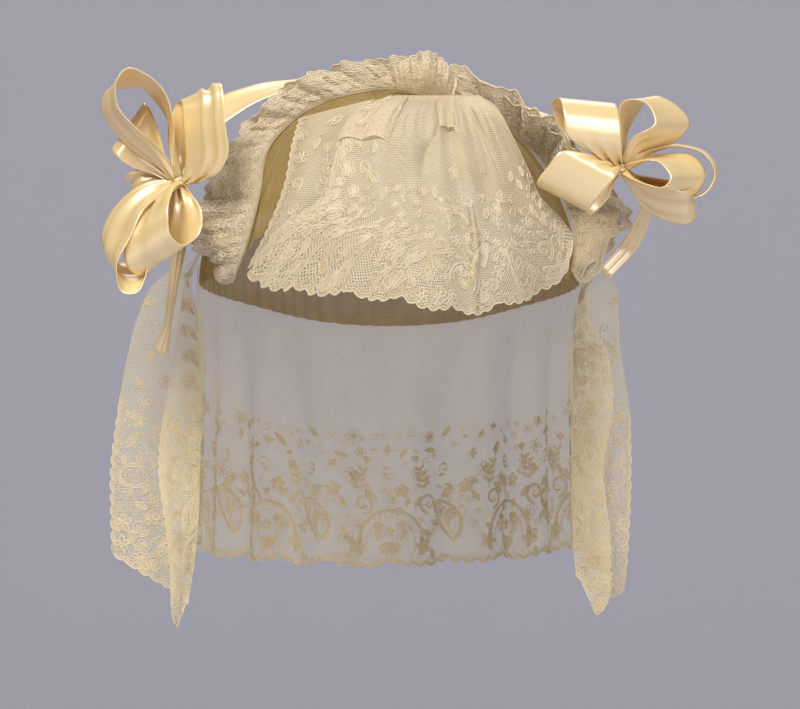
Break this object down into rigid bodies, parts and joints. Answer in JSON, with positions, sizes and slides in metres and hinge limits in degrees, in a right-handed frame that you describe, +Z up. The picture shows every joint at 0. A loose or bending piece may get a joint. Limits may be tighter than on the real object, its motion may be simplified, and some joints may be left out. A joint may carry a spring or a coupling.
{
  "type": "evening cap",
  "caption": "Evening cap with a net crown, a gathered lace frill and front fall, two lace lappets, a back fall and a satin ribbon with a bow at each temple.",
  "frame": {"origin": "the top of the hollow for the head, inside the crown, where the cap sits on the crown of the head", "axes": "+Z up out of the top of the head, -Y out of the face, +X to the wearer's left, which is the right of the front view"},
  "size_m": [0.2555, 0.2189, 0.2392],
  "materials": {
    "net": "fine cotton net, matt",
    "lace": "applied lace on net, matt",
    "satin": "silk satin ribbon, soft gloss"
  },
  "bodies": {
    "root": {"crown": "net", "front_fall": "lace", "under_fall": "lace", "top_puff": "lace", "halo_frill": "lace", "back_fall": "lace", "lappet_left": "lace", "lappet_right": "lace", "ribbon_band": "satin", "bow_left": "satin", "bow_right": "satin"}
  },
  "joints": []
}
